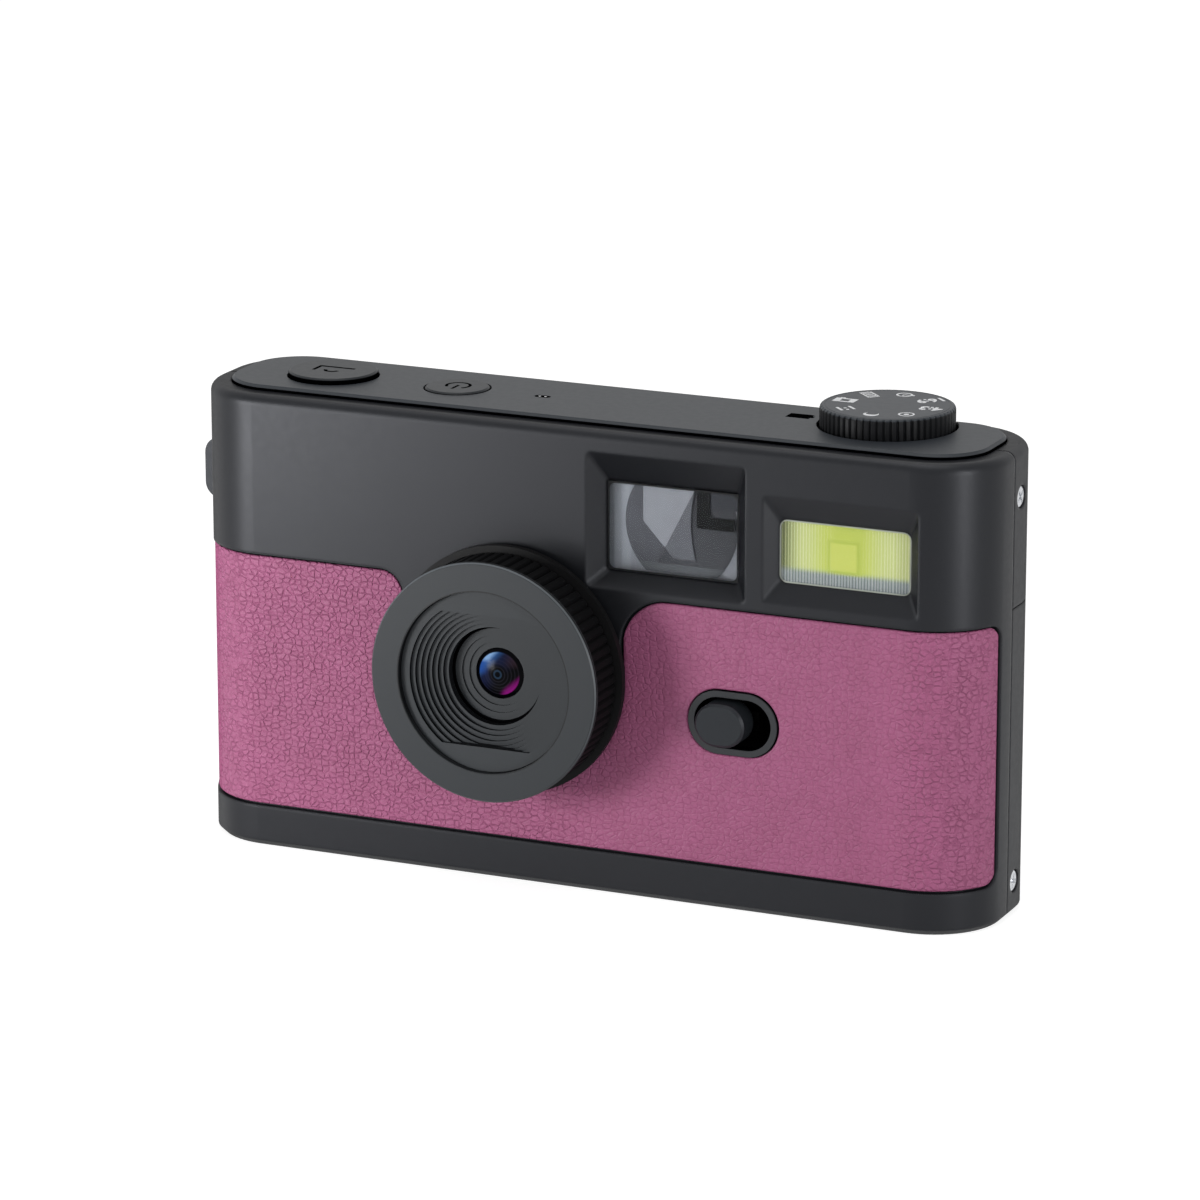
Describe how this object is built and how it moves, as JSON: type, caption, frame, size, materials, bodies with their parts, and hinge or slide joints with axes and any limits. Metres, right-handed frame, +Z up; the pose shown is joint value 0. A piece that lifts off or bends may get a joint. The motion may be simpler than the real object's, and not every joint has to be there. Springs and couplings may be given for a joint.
{
  "type": "retro digital camera",
  "caption": "Flat digital camera with a leather band round the front, knurled lens ring, optical viewfinder, flash window, slide switch, mode dial and buttons on top.",
  "frame": {"origin": "middle of the base, on the surface that the camera stands on", "axes": "+X to the right seen from the front, front faces -Y, +Z up"},
  "size_m": [0.1172, 0.0342, 0.0668],
  "materials": {
    "shell": "satin",
    "top": "satin",
    "leather": "pebbled",
    "buttons": "satin",
    "dial": "satin",
    "ring": "anodised satin",
    "black_plastic": "matte",
    "glass": "polished",
    "clear": "ribbed",
    "reflector": "polished",
    "led": "gloss",
    "board": "satin",
    "component": "satin",
    "steel": "brushed",
    "battery": "foil",
    "brass": "plain",
    "display": "gloss"
  },
  "bodies": {
    "housing": {"front_shell": "shell", "rear_cover_lower": "shell", "rear_cover_upper": "shell", "leather_wrap": "leather", "top_plate": "top", "status_light": "clear", "shutter_switch": "component", "power_switch": "component", "button_board": "board", "microphone": "component", "dial_encoder": "component", "dial_board": "board", "lens_housing": "black_plastic", "lens_baffle": "black_plastic", "sensor_holder": "black_plastic", "sensor_board": "board", "image_sensor": "component", "viewfinder_window": "glass", "viewfinder_tunnel": "black_plastic", "eyepiece_window": "glass", "flash_lens": "clear", "flash_reflector": "reflector", "flash_led": "led", "flash_board": "board", "switch_bezel": "black_plastic", "slide_switch": "component", "strap_bar": "black_plastic", "side_screws": "steel", "board_screws": "steel", "main_board": "board", "image_processor": "component", "battery": "battery", "speaker": "component", "usb_port": "steel", "card_socket": "steel", "tripod_bush": "brass", "screen_window": "glass", "display_panel": "display", "key_board": "board", "key_switches": "component"},
    "dial": {"mode_dial": "dial", "dial_shaft": "steel"},
    "shutter": {"shutter_button": "buttons"},
    "power": {"power_button": "buttons"},
    "switch": {"switch_knob": "buttons"},
    "focus": {"focus_ring": "ring"},
    "lens_group": {"lens_cell": "black_plastic", "lens_glass": "glass"},
    "ok": {"ok_key": "buttons"},
    "up": {"up_key": "buttons"},
    "down": {"down_key": "buttons"},
    "menu": {"menu_key": "buttons"},
    "play": {"play_key": "buttons"}
  },
  "joints": [
    {"name": "mode_dial_turn", "type": "hinge", "parent": "housing", "child": "dial", "pos_m": [0.038, 0.0036, 0.063], "axis": [0, 0, 1], "continuous": true},
    {"name": "shutter_press", "type": "slide", "parent": "housing", "child": "shutter", "axis": [0, 0, -1], "range_m": [0, 0.0007], "stiffness_N_per_m": 600},
    {"name": "power_press", "type": "slide", "parent": "housing", "child": "power", "axis": [0, 0, -1], "range_m": [0, 0.0004], "stiffness_N_per_m": 500},
    {"name": "switch_slide", "type": "slide", "parent": "housing", "child": "switch", "axis": [1, 0, 0], "range_m": [0, 0.0024]},
    {"name": "focus_turn", "type": "hinge", "parent": "housing", "child": "focus", "pos_m": [-0.009, 0, 0.02985], "axis": [0, -1, 0], "range_deg": [0, 90]},
    {"name": "lens_travel", "type": "slide", "parent": "housing", "child": "lens_group", "axis": [0, -1, 0], "range_m": [0, 0.00036]},
    {"name": "ok_press", "type": "slide", "parent": "housing", "child": "ok", "axis": [0, -1, 0], "range_m": [0, 0.0004], "stiffness_N_per_m": 400},
    {"name": "up_press", "type": "slide", "parent": "housing", "child": "up", "axis": [0, -1, 0], "range_m": [0, 0.0004], "stiffness_N_per_m": 400},
    {"name": "down_press", "type": "slide", "parent": "housing", "child": "down", "axis": [0, -1, 0], "range_m": [0, 0.0004], "stiffness_N_per_m": 400},
    {"name": "menu_press", "type": "slide", "parent": "housing", "child": "menu", "axis": [0, -1, 0], "range_m": [0, 0.0004], "stiffness_N_per_m": 400},
    {"name": "play_press", "type": "slide", "parent": "housing", "child": "play", "axis": [0, -1, 0], "range_m": [0, 0.0004], "stiffness_N_per_m": 400}
  ],
  "couplings": [
    {"joint": "lens_travel", "follows": "focus_turn", "m_per_rad": 0.000229}
  ]
}
